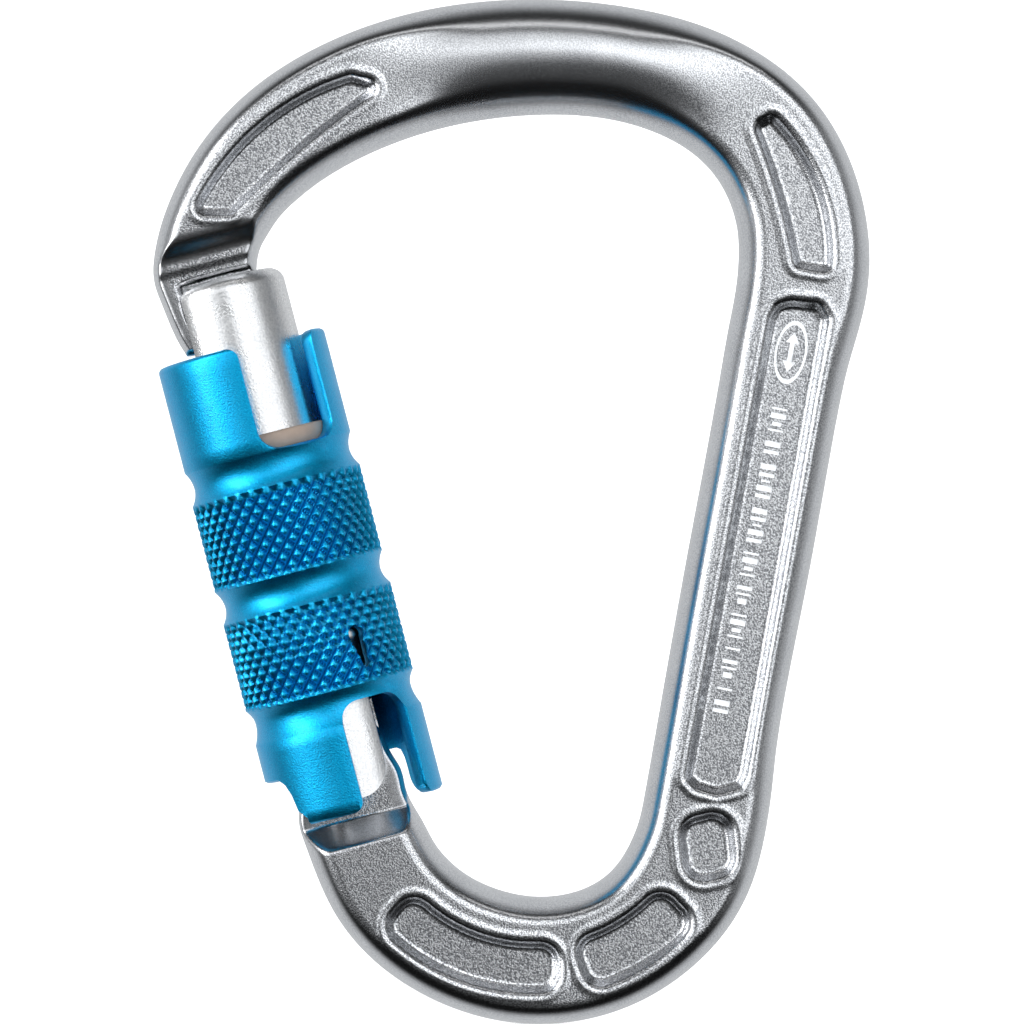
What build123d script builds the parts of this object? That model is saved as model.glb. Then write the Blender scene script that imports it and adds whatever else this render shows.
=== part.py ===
"""Locking carabiner: forged pear-shaped frame, sprung gate and knurled auto-locking sleeve.

Millimetres. +Z runs from the narrow bow to the wide bow, +X from the gate to the spine, and the
broad faces look along -Y and +Y. The origin is the inner apex of the wide bow, on the mid-plane.
Gate parts are drawn in the gate's own frame, with the rivet at the origin and +Z up the gate.
"""
from build123d import *
from math import atan2, cos, degrees, pi, radians, sin
import os

# ---- frame ---------------------------------------------------------------------------------
HALF = 6.0                  # half the thickness of the forging
EDGE = 3.0                  # rounding of the forging's long edges
POCKET_DEPTH = 1.3

WIDE_BOW = [(-41.7, -20.8), (-42.62, -17.6), (-42.3, -14.3), (-41.4, -11.0), (-38.2, -4.4),
            (-32.5, 2.2), (-25.4, 7.0), (-15.5, 10.85), (-0.5, 12.7), (10.9, 11.6),
            (20.8, 8.5), (29.5, 2.2), (34.9, -7.7), (36.1, -14.9), (35.6, -20.9), (33.05, -30.8)]
SPINE_OUT = (25.7, -71.0)
NARROW_BOW_START = (24.5, -80.3)
NARROW_BOW_MID = (-0.5, -99.9)
NARROW_BOW_END = (-25.9, -80.3)

INNER_NARROW = [(-13.5, -77.0), (-8.3, -83.6), (0.6, -86.0), (7.1, -83.6), (11.0, -77.0), (12.0, -71.0)]
INNER_WIDE = [(19.9, -27.3), (21.6, -17.6), (21.3, -11.0), (16.9, -4.4), (10.9, -1.3), (0.0, 0.0),
              (-8.9, -0.95), (-18.8, -4.25), (-25.4, -8.0), (-28.7, -11.05)]

# ---- gate axis -----------------------------------------------------------------------------
RIVET = (-21.4, -70.4)      # hinge axis, x and z
GATE_TILT = 14.6            # the gate's top leans this far towards -X
GATE_SWING = 24.0           # opening angle

# ---- hinge ---------------------------------------------------------------------------------
RIVET_R = 1.3
RIVET_HALF = 6.5
RUN = 0.05                  # running clearance on radius
TANG_HALF = 2.9             # half the thickness of the tang between the fork's cheeks
TANG_R = 4.6                # tang head
NECK_OUT, NECK_IN = -6.85, 5.4
TANG_ROOT = -5.5            # the tang's rounded head is cut above this height
STEP_LOW, STEP_HIGH = -9.7, -6.9    # the forging thins to the tang between these heights
CAM_LOW = 3.8               # cam radius under the plunger with the gate shut
NECK_RUN = 6.0              # the outline runs on straight to here, and the head is cut below it
TIP_GAP = 0.1               # between the cam and the plunger's tip
PLUNGER_TRAVEL = 0.8        # how far the cam drives the plunger as the gate opens

# ---- nose ----------------------------------------------------------------------------------
NOSE_STEP_LOW, NOSE_STEP_HIGH = 55.8, 59.4
NOSE_HEAD_HALF = 4.2        # keylock head, wider than the neck above it
NOSE_NECK_HALF = 3.3
NOSE_TIP_R = 47.25          # the tip's distance from the hinge
NOSE_NECK_R = 50.6          # the head ends and the neck begins
NOSE_ROUND = 7.15           # the nose fits inside the sleeve's bore
NOSE_ROUND_TOP = 50.8
NOSE_RUN = 43.0             # the outline runs on straight to here, and the tip is cut above it

# ---- gate ----------------------------------------------------------------------------------
GATE_R = 6.6
GATE_TOP = 54.0
GATE_TOP_ROUND = 1.6
FORK_END = -4.7
FORK_HALF_WIDTH = 4.1
FORK_TOP = 7.5
FORK_CORNER = 3.2
FORK_SLOT_HALF = 3.0
FORK_SLOT_TOP = 5.3
SLOT_HALF = 4.5
SLOT_NECK_HALF = 3.6
SLOT_FLOOR = 43.0
SLOT_END = 4.1
HEAD_GAP = 0.35             # along the nose, between the keylock head and its slot
LIP_EDGE = -4.4             # the keylock lips start here, inside the slot's open side
BORE_R = 2.3
BORE_TOP = 28.0

# ---- plunger and spring in the bore --------------------------------------------------------
PLUNGER_R = 2.2
TIP_R = 0.9
PLUNGER_TOP = 13.0
WIRE_R = 0.25
GATE_SPRING_TURNS = 9
SPRING_GAP = 0.15           # between the coil and its bore

# ---- sleeve --------------------------------------------------------------------------------
SLEEVE_R = 9.4
KNURL_R = 9.5
GROOVE_R = 8.8
SLEEVE_BORE = 7.55
LAND_BORE = 6.7
LAND = (8.0, 15.0)          # the narrow land of the bore that carries the pin track
SLEEVE_TOP = 46.2
SLEEVE_EDGE = 0.6           # chamfer of the top rim
SLEEVE_END = -6.05
WALL_IN, WALL_OUT = 5.0, 12.0   # radii that any cut through the sleeve's wall spans
SKIRT_END = -0.8
GROOVES = [(30.6, 32.5, 34.4), (17.2, 19.0, 20.9), (3.5, 5.8, 7.4)]
NOTCH_ANGLE, NOTCH_WIDTH, NOTCH_FLOOR, NOTCH_CORNER = 28.5, 8.8, 34.4, 2.1
SLOT_ANGLE, SLOT_WIDTH, SLOT_ROOF, SLOT_CORNER = 31.0, 7.85, 5.8, 2.2
LEG_FROM, LEG_TO = 127.0, 318.0     # no leg between these angles, round the back
LEG_CORNER = 1.8            # rounding of the rear leg's tip
LIFT = 4.0
SLEEVE_TURN = 120.0

# ---- guide pin, ring and sleeve spring -----------------------------------------------------
PIN_ANGLE = 30.0
PIN_R = 0.8
PIN_Z = 12.9
PIN_INNER, PIN_OUTER = 3.4, 8.2
TRACK_R = 8.35
TRACK_GAP = 0.25
RING = (34.0, 36.3)
RING_R = 7.42
SLEEVE_WIRE_R = 0.32
SLEEVE_SPRING_TURNS = 7

GATE_PLACE = Location((RIVET[0], 0, RIVET[1]), (0, -GATE_TILT, 0))


def row_point(u, z):
    """A point of the gate's frame, as x and z of the row."""
    tilt = radians(GATE_TILT)
    return RIVET[0] + u * cos(tilt) - z * sin(tilt), RIVET[1] + u * sin(tilt) + z * cos(tilt)


def flat(points):
    """Points drawn in x and z, as corners on the XZ plane."""
    return [(x, 0, z) for x, z in points]


def direction(start, end):
    return Vector(end[0] - start[0], 0, end[1] - start[1]).normalized()


def plate(wires, half):
    """A symmetric plate from an outline on the XZ plane."""
    return extrude(make_face(wires), amount=half, dir=(0, 1, 0), both=True)


def around(angle):
    """Unit vector in the gate's cross-section; 0 faces -Y and 90 faces +X."""
    return sin(radians(angle)), -cos(radians(angle))


def cam_points(count=5):
    """The tang's cam: the path of the plunger's round tip, offset by the tip and its clearance."""
    rise = PLUNGER_TRAVEL / radians(GATE_SWING)
    points = []
    for step in range(count):
        swing = radians(GATE_SWING) * step / (count - 1)
        reach = CAM_LOW + TIP_R + TIP_GAP + rise * swing
        lean = swing - atan2(rise, reach)
        inset = TIP_R + TIP_GAP
        points.append((reach * sin(swing) - inset * sin(lean), reach * cos(swing) - inset * cos(lean)))
    return points


def frame_outline():
    """The closed outline, with the nose and the neck run on straight for their ends to be cut."""
    nose_out = [row_point(-5.3, NOSE_RUN), row_point(-6.45, 48.6)]
    nose_in = [row_point(6.6, 58.1), row_point(4.5, 55.9), row_point(3.7, 53.5)]
    nose_end = row_point(3.4, NOSE_RUN)
    neck_out, neck_out_end = row_point(NECK_OUT, TANG_ROOT), row_point(NECK_OUT, NECK_RUN)
    neck_in, neck_in_end = row_point(NECK_IN, TANG_ROOT), row_point(NECK_IN, NECK_RUN)
    up_neck = direction(neck_out, neck_out_end)
    down_spine = direction(WIDE_BOW[-1], SPINE_OUT)
    up_spine = direction(INNER_NARROW[-1], INNER_WIDE[0])
    narrow_bow = [SPINE_OUT, NARROW_BOW_START, (12.2, -96.6), NARROW_BOW_MID, (-12.4, -97.0),
                  (-20.3, -91.0), NARROW_BOW_END, neck_out]
    return [
        Spline(*flat(nose_out + WIDE_BOW), tangents=(direction(*nose_out), down_spine)),
        Line(*flat([WIDE_BOW[-1], SPINE_OUT])),
        Spline(*flat(narrow_bow), tangents=(down_spine, up_neck)),
        Line(*flat([neck_out, neck_out_end])),
        Line(*flat([neck_out_end, neck_in_end])),
        Line(*flat([neck_in_end, neck_in])),
        Spline(*flat([neck_in] + INNER_NARROW), tangents=(-up_neck, up_spine)),
        Line(*flat([INNER_NARROW[-1], INNER_WIDE[0]])),
        Spline(*flat(INNER_WIDE + nose_in), tangents=(up_spine, direction(nose_in[-1], nose_end))),
        Line(*flat([nose_in[-1], nose_end])),
        Line(*flat([nose_end, nose_out[0]])),
    ]


def tang_head():
    """The tang's rounded head with its cam, as a plate on the gate's XZ plane."""
    cam = cam_points()
    left, right = (-TANG_R, 0), (TANG_R, 0)
    shoulder = (TANG_R * sin(1.0), TANG_R * cos(1.0))
    lines = [
        Line(*flat([(NECK_OUT, -12), (NECK_OUT, TANG_ROOT)])),
        Line(*flat([(NECK_OUT, TANG_ROOT), left])),
        ThreePointArc(*flat([left, (-2.9, 2.3), cam[0]])),
        Spline(*flat(cam)),
        ThreePointArc(*flat([cam[-1], shoulder, right])),
        Line(*flat([right, (NECK_IN, -3.0)])),
        Line(*flat([(NECK_IN, -3.0), (NECK_IN, -12)])),
        Line(*flat([(NECK_IN, -12), (NECK_OUT, -12)])),
    ]
    return plate(lines, 2 * HALF)


def ring_sector(centre, radius_in, radius_out, start, end):
    """A pocket outline that follows a bow: a ring sector with round ends."""
    def at(radius, angle):
        return centre[0] + radius * cos(radians(angle)), centre[1] + radius * sin(radians(angle))
    middle_r, half = (radius_in + radius_out) / 2, (radius_out - radius_in) / 2
    bulge = degrees(half / middle_r)
    middle = (start + end) / 2
    return make_face([
        ThreePointArc(at(radius_out, start + bulge), at(radius_out, middle), at(radius_out, end - bulge)),
        ThreePointArc(at(radius_out, end - bulge), at(middle_r, end), at(radius_in, end - bulge)),
        ThreePointArc(at(radius_in, end - bulge), at(radius_in, middle), at(radius_in, start + bulge)),
        ThreePointArc(at(radius_in, start + bulge), at(middle_r, start), at(radius_out, start + bulge)),
    ])


def pocket_faces():
    """Pocket outlines, halfway down the pressed walls, in x and z."""
    outer_left, outer_right = (-36.4, -9.3), (-21.6, 3.3)
    inner_right, inner_left = (-19.2, 1.9), (-33.6, -10.6)
    top_left = make_face([
        ThreePointArc(outer_left, (-30.5, -1.9), outer_right),
        ThreePointArc(outer_right, (-19.0, 3.3), inner_right),
        ThreePointArc(inner_right, (-27.2, -4.5), inner_left),
        ThreePointArc(inner_left, (-35.8, -10.9), outer_left),
    ])
    top_right = ring_sector((8.4, -15.5), 19.4, 23.5, -4.5, 44.5)
    spine = make_face(Polyline((25.0, -22.6), (16.2, -71.8), (18.2, -74.0), (22.2, -71.8),
                               (30.8, -22.6), (29.8, -21.0), (27.0, -20.9), close=True))
    oval = Pos(18.15, -80.2) * fillet(Rectangle(5.4, 6.7).vertices(), 2.2)
    bottom_left = ring_sector((-0.9, -73.0), 17.9, 22.8, -137, -82)
    bottom_right = ring_sector((-0.9, -73.0), 18.1, 23.0, -75.5, -40.5)
    return [top_left, top_right, spine, oval, bottom_left, bottom_right]


def pocket_tools():
    """Plugs that press the pockets into both faces."""
    tools = []
    front = Plane(origin=(0, -HALF - 1, 0), x_dir=(1, 0, 0), z_dir=(0, -1, 0))
    for face in pocket_faces():
        plug = extrude(front * face, amount=-POCKET_DEPTH - 1)
        tools += [plug, mirror(plug, about=Plane.XZ)]
    return tools


def side_cutter(thick_z, thin_z, end_z, thick_half, thin_half):
    """Both flanks of a plate that thins from thick_half at thick_z to thin_half at thin_z and on."""
    wide = 20.0
    profile = Plane.YZ * make_face(Polyline(
        (thick_half, thick_z), (thin_half, thin_z), (thin_half, end_z), (wide, end_z),
        (wide, thick_z), close=True))
    flank = extrude(profile, amount=wide, both=True)
    return [flank, mirror(flank, about=Plane.XZ)]


def build_frame():
    """The forging: rounded plate, pressed pockets, thinned nose and tang, rivet hole."""
    body = plate(frame_outline(), HALF)
    end_points = [row_point(-1, NOSE_RUN), row_point(-0.7, NECK_RUN)]
    ends = [Vector(x, 0, z) for x, z in end_points]
    rounded = [edge for edge in body.edges()
               if abs(abs(edge.center().Y) - HALF) < 0.01
               and all((Vector(edge.center().X, 0, edge.center().Z) - end).length > 3 for end in ends)]
    body = fillet(rounded, EDGE)
    for tool in pocket_tools():
        body -= tool
    local = GATE_PLACE.inverse() * body
    for cut in side_cutter(STEP_LOW, STEP_HIGH, 12.0, HALF, TANG_HALF):
        local -= cut
    for cut in side_cutter(NOSE_STEP_HIGH, NOSE_STEP_LOW, 40.0, HALF, NOSE_HEAD_HALF):
        local -= cut
    local -= nose_cutters()
    local -= block(-20, 20, 2 * HALF, TANG_ROOT, 8.5) - tang_head()
    local -= Rot(90, 0, 0) * Cylinder(RIVET_R + RUN, 4 * HALF)
    return GATE_PLACE * local


def hinge_disc(radius, half):
    """A disc about the hinge axis."""
    return Rot(90, 0, 0) * Cylinder(radius, 2 * half)


def nose_cutters():
    """Round the nose to the sleeve's bore, cut its tip to an arc and neck it above the head."""
    zone = block(-15, 15, 15, NOSE_RUN - 4, NOSE_ROUND_TOP)
    outside = zone - Cylinder(NOSE_ROUND, 200)
    tip = Pos(0, 0, 40) * Box(30, 30, 20) & hinge_disc(NOSE_TIP_R, 20)
    neck_band = hinge_disc(GATE_TOP + HEAD_GAP, 20) - hinge_disc(NOSE_NECK_R, 20)
    neck_band &= block(LIP_EDGE - 0.2, 20, 20, SLOT_FLOOR, GATE_TOP + 6)
    neck_band -= Box(60, 2 * NOSE_NECK_HALF, 200)
    return [outside, tip, neck_band]


def bar(radius, low, high):
    return Pos(0, 0, low) * Cylinder(radius, high - low, align=(Align.CENTER, Align.CENTER, Align.MIN))


def block(x_low, x_high, half_y, z_low, z_high):
    size = (x_high - x_low, 2 * half_y, z_high - z_low)
    return Pos(x_low, 0, z_low) * Box(*size, align=(Align.MIN, Align.CENTER, Align.MIN))


def build_gate():
    """Gate bar: fork at the hinge, spring bore, keylock slot open to the nose side and the top."""
    body = bar(GATE_R, FORK_END, GATE_TOP)
    body = fillet(body.edges().group_by(Axis.Z)[-1], GATE_TOP_ROUND)
    narrow = block(-FORK_HALF_WIDTH, FORK_HALF_WIDTH, 20, FORK_END, FORK_TOP)
    corners = narrow.edges().filter_by(Axis.Y).group_by(Axis.Z)[0]
    narrow = fillet(corners, FORK_CORNER)
    body = (body & narrow) + (body & block(-20, 20, 20, FORK_TOP, GATE_TOP))
    body -= block(-20, 20, FORK_SLOT_HALF, FORK_END, FORK_SLOT_TOP)
    body -= bar(BORE_R, 0, BORE_TOP)
    body -= hinge_disc(RIVET_R, 20)
    body -= block(-20, SLOT_END, SLOT_HALF, SLOT_FLOOR, 60) & hinge_disc(NOSE_NECK_R + HEAD_GAP, 20)
    body -= block(-20, SLOT_END, SLOT_NECK_HALF, SLOT_FLOOR, 60)
    body -= block(-20, LIP_EDGE, SLOT_HALF, SLOT_FLOOR, 60)
    return body - radial_pin(PIN_R, PIN_INNER, 20)


def radial_pin(radius, inner, outer):
    """A round pin lying along the guide pin's direction."""
    x, y = around(PIN_ANGLE)
    plane = Plane(origin=(x * inner, y * inner, PIN_Z), z_dir=(x, y, 0))
    return plane * Cylinder(radius, outer - inner, align=(Align.CENTER, Align.CENTER, Align.MIN))


def build_plunger():
    """Follower with a small round tip that the cam pushes up the bore."""
    tip_z = CAM_LOW + TIP_GAP + TIP_R
    profile = [
        ThreePointArc((0, 0, CAM_LOW + TIP_GAP), (TIP_R * sin(pi / 4), 0, tip_z - TIP_R * cos(pi / 4)),
                      (TIP_R, 0, tip_z)),
        Polyline((TIP_R, 0, tip_z), (PLUNGER_R, 0, tip_z + 1.3), (PLUNGER_R, 0, PLUNGER_TOP),
                 (0, 0, PLUNGER_TOP), (0, 0, CAM_LOW + TIP_GAP)),
    ]
    return revolve(make_face(profile), Axis.Z)


def coil(radius, wire, low, high, turns):
    """A round-wire compression spring standing on Z."""
    path = Pos(0, 0, low + wire) * Helix((high - low - 2 * wire) / turns, high - low - 2 * wire, radius)
    start = Plane(origin=path @ 0, z_dir=path % 0)
    return sweep(start * Circle(wire), path, is_frenet=True)


def sleeve_profile():
    """Outer and inner sides of the sleeve, radius against height."""
    rim = (SLEEVE_R - SLEEVE_EDGE, SLEEVE_TOP)
    point = (SLEEVE_R, SLEEVE_TOP - SLEEVE_EDGE)
    lines = [Line(*flat([rim, point]))]
    for low, mid, high in GROOVES:
        low_r = SLEEVE_R if low == GROOVES[-1][0] else KNURL_R
        high_r = SLEEVE_R if high == GROOVES[0][2] else KNURL_R
        lines.append(Line(*flat([point, (high_r, high)])))
        lines.append(ThreePointArc(*flat([(high_r, high), (GROOVE_R, mid), (low_r, low)])))
        point = (low_r, low)
    lines.append(Polyline(*flat([
        point, (SLEEVE_R, SLEEVE_END), (SLEEVE_BORE, SLEEVE_END), (SLEEVE_BORE, LAND[0]),
        (LAND_BORE, LAND[0]), (LAND_BORE, LAND[1]), (SLEEVE_BORE, LAND[1]),
        (SLEEVE_BORE, SLEEVE_TOP), rim])))
    return lines


def radial_slot(angle, width, low, high, corner, open_up):
    """A parallel-sided slot through one wall, round-cornered at its closed end."""
    x, y = around(angle)
    plane = Plane(origin=(0, 0, 0), x_dir=(-y, x, 0), z_dir=(x, y, 0))
    shape = Pos(0, (low + high) / 2) * Rectangle(width, high - low)
    ends = shape.vertices().group_by(Axis.Y)[0 if open_up else -1]
    return extrude(plane * fillet(ends, corner), amount=20)


def sector(radius_in, radius_out, low, high, start, end):
    """A block of a ring between two angles round the gate's axis."""
    face = make_face(Polyline((radius_in, 0, low), (radius_out, 0, low),
                              (radius_out, 0, high), (radius_in, 0, high), close=True))
    return Rot(0, 0, start - 90) * revolve(face, Axis.Z, end - start)


def leg_tip_edge(body):
    """The radial edge at the rear leg's lowest rear corner."""
    x, y = around(LEG_FROM)
    middle_r = (SLEEVE_BORE + SLEEVE_R) / 2
    corner = Vector(x * middle_r, y * middle_r, SLEEVE_END)
    return body.edges().sort_by(lambda edge: (edge.center() - corner).length)[0]


def build_sleeve():
    """Locking sleeve: knurled bands, top notch, two legs and the track for the guide pin."""
    body = revolve(make_face(sleeve_profile()), Axis.Z)
    body -= radial_slot(NOTCH_ANGLE, NOTCH_WIDTH, NOTCH_FLOOR, SLEEVE_TOP + 5, NOTCH_CORNER, True)
    body -= radial_slot(SLOT_ANGLE, SLOT_WIDTH, SLEEVE_END - 5, SLOT_ROOF, SLOT_CORNER, False)
    body -= sector(WALL_IN, WALL_OUT, SLEEVE_END - 1, SKIRT_END, LEG_FROM, LEG_TO)
    body = fillet(leg_tip_edge(body), LEG_CORNER)
    margin = degrees((PIN_R + TRACK_GAP) / LAND_BORE)
    low, high = PIN_Z - LIFT - PIN_R - TRACK_GAP, PIN_Z + PIN_R + TRACK_GAP
    body -= sector(WALL_IN, TRACK_R, low, high, PIN_ANGLE - margin, PIN_ANGLE + SLEEVE_TURN + margin)
    window = SlotOverall(LIFT + 2 * PIN_R, 2 * PIN_R, rotation=90)
    x, y = around(PIN_ANGLE)
    plane = Plane(origin=(0, 0, PIN_Z - LIFT / 2), x_dir=(-y, x, 0), z_dir=(x, y, 0))
    return body - extrude(plane * window, amount=20)


def build_parts():
    """Every sub-part in the row's frame, by node name."""
    in_gate = {
        "gate": build_gate(),
        "hinge_rivet": hinge_disc(RIVET_R, RIVET_HALF),
        "gate_plunger": build_plunger(),
        "gate_spring": coil(BORE_R - WIRE_R - SPRING_GAP, WIRE_R, PLUNGER_TOP, BORE_TOP, GATE_SPRING_TURNS),
        "lock_sleeve": build_sleeve(),
        "sleeve_spring": coil((GATE_R + SLEEVE_BORE) / 2, SLEEVE_WIRE_R, LAND[1], RING[0],
                              SLEEVE_SPRING_TURNS),
        "guide_pin": radial_pin(PIN_R, PIN_INNER, PIN_OUTER),
        "guide_ring": bar(RING_R, *RING) - bar(GATE_R, *RING),
    }
    parts = {"frame": build_frame()}
    parts.update({name: GATE_PLACE * part for name, part in in_gate.items()})
    return parts


def main():
    os.makedirs("parts", exist_ok=True)
    for name, part in build_parts().items():
        part.label = name
        export_step(part, f"parts/{name}.step")


main()
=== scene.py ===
"""Looks of the locking carabiner: forged frame, gate, knurled sleeve, small steel parts and studio.

Shapes are in millimetres and are scaled to metres when a mesh is made. Gate parts are drawn in the
gate's own frame: origin at the rivet, z up the gate, u across it towards the spine.
"""
from math import atan2, cos, degrees, hypot, pi, radians, sin, sqrt

import bmesh
import bpy
import numpy as np
from mathutils import Matrix, Vector


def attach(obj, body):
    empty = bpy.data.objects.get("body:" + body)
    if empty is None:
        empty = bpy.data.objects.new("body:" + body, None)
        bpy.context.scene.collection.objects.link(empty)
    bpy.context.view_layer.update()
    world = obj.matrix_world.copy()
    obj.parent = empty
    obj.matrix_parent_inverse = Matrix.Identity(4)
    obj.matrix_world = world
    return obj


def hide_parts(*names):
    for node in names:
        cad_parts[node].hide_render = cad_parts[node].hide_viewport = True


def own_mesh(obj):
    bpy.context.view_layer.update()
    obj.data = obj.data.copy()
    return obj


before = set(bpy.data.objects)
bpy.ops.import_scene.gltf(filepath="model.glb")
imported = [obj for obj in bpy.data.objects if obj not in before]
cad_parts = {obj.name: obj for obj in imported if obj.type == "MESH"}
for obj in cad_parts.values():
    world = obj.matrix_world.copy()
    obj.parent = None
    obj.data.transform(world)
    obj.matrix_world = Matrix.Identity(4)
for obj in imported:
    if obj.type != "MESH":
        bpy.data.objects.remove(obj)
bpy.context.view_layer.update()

MM = 0.001
HALF = 6.0                      # half the forging's thickness
EDGE = 2.7                      # how far the forging's drafted, rounded sides reach across
RIVET = (-21.4, -70.4)
TILT = radians(14.6)

# ---- pressed pockets
POCKET_DEPTH = 1.25
POCKET_WALL = 1.15              # width of a pocket's sloping wall
BEAD, BEAD_WIDTH = 0.11, 1.0    # low bead raised round each pocket
LAND_FALL = 0.6                 # height below the face over which a land's finish fades out

# ---- nose and tang
NOSE_HALF = 4.2
NOSE_STEPS = [(55.3, 56.1, 0.25), (56.7, 59.8, 1.55)]   # height low, height high, rise
HINGE_STEP = (-6.9, -9.7, 2.9)  # height where the tang's ramp starts, height where it ends, half of the tang
NOSE_ROUND, NOSE_ROUND_FLARE, NOSE_ROUND_TOP = 7.15, 0.7, 50.0   # round in the sleeve's bore, wider above it
NOSE_NECK_HALF, NOSE_NECK_R = 3.3, (50.6, 54.4)         # the neck lies between two arcs about the rivet
LIP_EDGE = -4.4                 # the nose's lip lies beyond this u
NECK_FALL = 0.35                # width of the slopes round the nose's neck
STEP_SOFTNESS = 0.25
RAMP_POLISH = 0.85              # how far the ramps take the finish of the sides
RIVET_HOLE_R = 1.35

# ---- gate
GATE_R, GATE_TOP, GATE_END = 6.6, 54.0, -4.7
GATE_ROUND, GATE_FLAT_R, GATE_BEVEL = 1.6, 2.0, 0.22
FORK_HALF, FORK_TOP, FORK_ROUND, FORK_SLOT_HALF, FORK_SLOT_TOP = 4.1, 7.5, 3.2, 3.0, 5.3
SLOT_HALF, SLOT_NECK_HALF, SLOT_FLOOR, SLOT_END = 4.5, 3.6, 43.0, 4.1
SLOT_CLEARANCE = 0.35           # how far the slot's wide part reaches past the nose's head
BORE_R, BORE_TOP = 2.3, 28.0
COIL_R, COIL_WIRE, COIL_LOW, COIL_TURNS, COIL_STROKE = 1.9, 0.25, 13.0, 9, 0.8
RING_BORE_R, RING_R, RING_LOW, RING_HIGH = 6.62, 7.42, 34.0, 36.3
CUT_REACH = 12.0                # how far cutters reach sideways, past the gate and the sleeve
CUT_TOP = 60.0                  # how high they reach, past the gate's top

# ---- sleeve
SLEEVE_R, KNURL_R, GROOVE_R, BORE = 9.4, 9.5, 8.8, 7.55
SLEEVE_TOP, SLEEVE_END, SKIRT_END = 46.2, -6.05, -0.8
SLEEVE_ROUND, SLEEVE_CHAMFER, BORE_CHAMFER = 0.6, 0.3, 0.2
GROOVES = [(30.6, 32.5, 34.4), (17.2, 19.0, 20.9), (3.5, 5.8, 7.4)]     # low, deepest and high
BANDS = [(20.9, 30.6), (7.4, 17.2)]     # the two knurled bands, low and high
TRACK_R, TRACK = 8.35, (7.8, 14.0)      # room inside for the guide pin
DIAMONDS, PITCH, KNURL_STEPS, KNURL_DEPTH = 36, 1.84, 8, 0.52
KNURL_FLAT = 0.6                # share of a diamond's height at which its top is flat
KNURL_FADE = 0.5                # width over which the knurling fades at a band's edges
NOTCH_ANGLE, NOTCH_HALF, NOTCH_CORNER, NOTCH_LIP = 28.5, 4.4, 2.1, 1.3
SLOT_ANGLE, LOWER_SLOT_HALF, LOWER_SLOT_CORNER, LOWER_SLOT_LIP = 31.0, 3.92, 2.2, 1.2
NOTCH_FLOOR, LOWER_SLOT_FLOOR = 34.4, 5.8
RIM_R, RIM_FLARE = 9.1, 0.28    # openings widen a little from this radius out
PIN_ANGLE, PIN_Z, PIN_R = 30.0, 12.9, 0.8
WINDOW_R = 0.86
LEG_BACK = 127.0 - 360          # the right leg's rear edge
LEG_ROUND = 1.9


def gate_point(u, z):
    """A point of the gate's frame, as x and z of the row."""
    return RIVET[0] + u * cos(TILT) - z * sin(TILT), RIVET[1] + u * sin(TILT) + z * cos(TILT)


GATE_PLACE = Matrix.Translation((RIVET[0] * MM, 0, RIVET[1] * MM)) @ Matrix.Rotation(-TILT, 4, "Y")


# ---- mesh helpers --------------------------------------------------------------------------
def mesh_object(name, vertices, faces, place=None):
    """A smooth-shaded mesh from millimetres, moved by the matrix if one is given."""
    mesh = bpy.data.meshes.new(name)
    mesh.from_pydata((np.asarray(vertices, float) * MM).tolist(), [], faces)
    mesh.validate()
    if place is not None:
        mesh.transform(place)
    mesh.shade_smooth()
    made = bpy.data.objects.new(name, mesh)
    bpy.context.scene.collection.objects.link(made)
    return made


def outward(made):
    """Turn every face to look out of the solid."""
    work = bmesh.new()
    work.from_mesh(made.data)
    bmesh.ops.recalc_face_normals(work, faces=work.faces)
    work.to_mesh(made.data)
    work.free()


def ring_faces(rows, columns, close_rows=False):
    """Quads between rings of points; the rings close on themselves."""
    faces = []
    for row in range(rows if close_rows else rows - 1):
        low, high = row * columns, (row + 1) % rows * columns
        for column in range(columns):
            after = (column + 1) % columns
            faces.append((low + column, low + after, high + after, high + column))
    return faces


def capped(rows, columns):
    """Ring faces with a flat cap on each end."""
    first = tuple(range(columns))
    last = tuple(range((rows - 1) * columns, rows * columns))
    return ring_faces(rows, columns) + [first[::-1], last]


def modify(made, kind, **settings):
    """Add a modifier of this kind with these settings."""
    modifier = made.modifiers.new(kind.title(), kind)
    for key, value in settings.items():
        setattr(modifier, key, value)
    return modifier


def apply_modifiers(made):
    """Replace the mesh by its modified shape."""
    graph = bpy.context.evaluated_depsgraph_get()
    made.data = bpy.data.meshes.new_from_object(made.evaluated_get(graph))
    made.modifiers.clear()


def cut(made, *cutters):
    """Take each cutter's solid away from the mesh."""
    for cutter in cutters:
        outward(cutter)
        modify(made, "BOOLEAN", operation="DIFFERENCE", object=cutter, solver="EXACT")
        apply_modifiers(made)
        bpy.data.objects.remove(cutter)


def slab_cutter(outline, reach):
    """A flat cutter with this outline, from -reach to reach along y."""
    rows = [[(x, y, z) for x, z in outline] for y in (-reach, reach)]
    return mesh_object("cutter", rows[0] + rows[1], capped(2, len(outline)))


def box_cutter(low, high):
    """A box between two opposite corners."""
    corners = [(x, y, z) for z in (low[2], high[2])
               for x, y in ((low[0], low[1]), (high[0], low[1]), (high[0], high[1]), (low[0], high[1]))]
    return mesh_object("cutter", corners, capped(2, 4))


def shade_by_angle(made, degrees_limit):
    """Smooth shading that stays sharp over edges steeper than the limit."""
    made.data.shade_smooth()
    made.data.set_sharp_from_angle(angle=radians(degrees_limit))


def arc(centre, radius, start, end, count):
    """Points along an arc between two angles in degrees."""
    angles = np.radians(np.linspace(start, end, count))
    return [(centre[0] + radius * cos(a), centre[1] + radius * sin(a)) for a in angles]


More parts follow.
